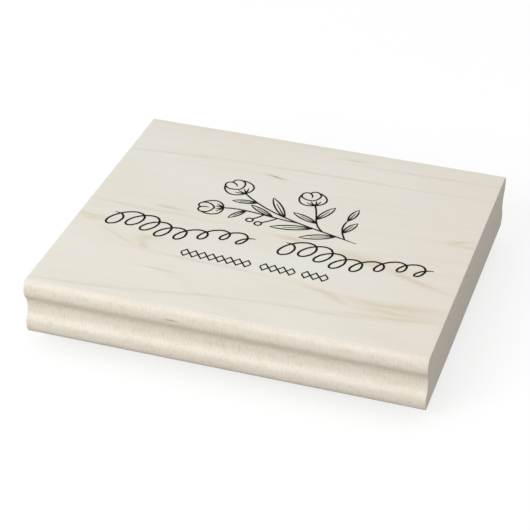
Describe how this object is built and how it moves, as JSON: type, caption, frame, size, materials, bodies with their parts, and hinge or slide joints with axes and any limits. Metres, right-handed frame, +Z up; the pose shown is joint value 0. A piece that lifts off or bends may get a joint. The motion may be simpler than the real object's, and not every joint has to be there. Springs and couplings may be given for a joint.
{
  "type": "rubber stamp",
  "caption": "Wood-mounted hand stamp: a moulded maple block over a foam cushion and a rubber relief die, with the printed picture inked on its top.",
  "frame": {"origin": "centre of the print face, where the rubber die meets the paper, under the middle of the block", "axes": "+X along the moulded sides, +Y up the page of the printed picture, +Z up through the block to its top"},
  "size_m": [0.127, 0.1142, 0.0247],
  "materials": {
    "maple": "sanded, unvarnished",
    "index_ink": "matt ink",
    "stamp_rubber": "satin",
    "cushion_foam": "matt closed-cell foam",
    "adhesive_film": "clear film"
  },
  "bodies": {
    "block": {"maple_block": "maple", "block_adhesive_film": "adhesive_film", "foam_cushion": "cushion_foam", "index_print_spray": "index_ink", "index_print_flourish_left": "index_ink", "index_print_flourish_right": "index_ink", "index_print_border_left": "index_ink", "index_print_border_middle": "index_ink", "index_print_border_right": "index_ink"},
    "die": {"rubber_die": "stamp_rubber", "die_adhesive_film": "adhesive_film"}
  },
  "joints": [
    {"name": "cushion_press", "type": "slide", "parent": "block", "child": "die", "axis": [0, 0, 1], "range_m": [0, 0.0008], "stiffness_N_per_m": 6000, "deforming": ["foam_cushion"]}
  ]
}
